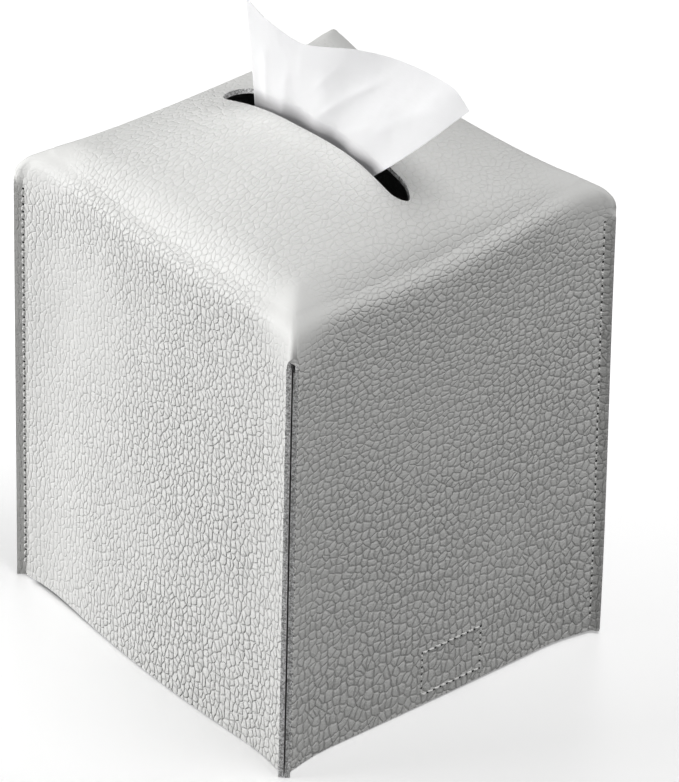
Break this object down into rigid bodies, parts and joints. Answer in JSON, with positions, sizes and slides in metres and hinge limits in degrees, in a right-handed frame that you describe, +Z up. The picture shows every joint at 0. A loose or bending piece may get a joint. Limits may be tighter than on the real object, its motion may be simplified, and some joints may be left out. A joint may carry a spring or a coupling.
{
  "type": "tissue box cover",
  "caption": "Soft pebbled leather cover for a cube carton of tissues, with turned-out stitched corner seams, a long slot in a slightly crowned top and two fastening straps under the carton.",
  "frame": {"origin": "under the middle of the cover, on the surface that its rim stands on", "axes": "+Z up, -Y out of the wall that shows a rectangle of stitches in the picture (front), X across that wall; the slot and the straps run along Y"},
  "size_m": [0.129, 0.129, 0.207],
  "materials": {
    "leather": "pebbled, satin",
    "lining": "short suede nap",
    "thread": "waxed thread",
    "tape": "hook and loop pile",
    "tissue": "matte tissue paper"
  },
  "bodies": {
    "cover": {"outer_leather": "leather", "inner_lining": "lining", "corner_thread_front_left": "thread", "corner_thread_front_right": "thread", "corner_thread_back_left": "thread", "corner_thread_back_right": "thread", "front_box_stitch": "thread", "back_box_stitch": "thread", "front_strap_tab": "leather", "back_strap_tab": "leather"},
    "lower_strap": {"front_strap": "leather", "hook_tape": "tape"},
    "upper_strap": {"back_strap": "leather", "loop_tape": "tape"},
    "tissue_leaf": {"tissue": "tissue"}
  },
  "joints": [
    {"name": "lower_strap_hinge", "type": "hinge", "parent": "cover", "child": "lower_strap", "pos_m": [0.0045, -0.0562, 0.0037], "axis": [-1, 0, 0], "range_deg": [0, 90]},
    {"name": "upper_strap_hinge", "type": "hinge", "parent": "cover", "child": "upper_strap", "pos_m": [0.0045, 0.0562, 0.0076], "axis": [-1, 0, 0], "range_deg": [0, 85]},
    {"name": "tissue_pull", "type": "slide", "parent": "cover", "child": "tissue_leaf", "axis": [0, 0, 1], "range_m": [0, 0.05]}
  ]
}
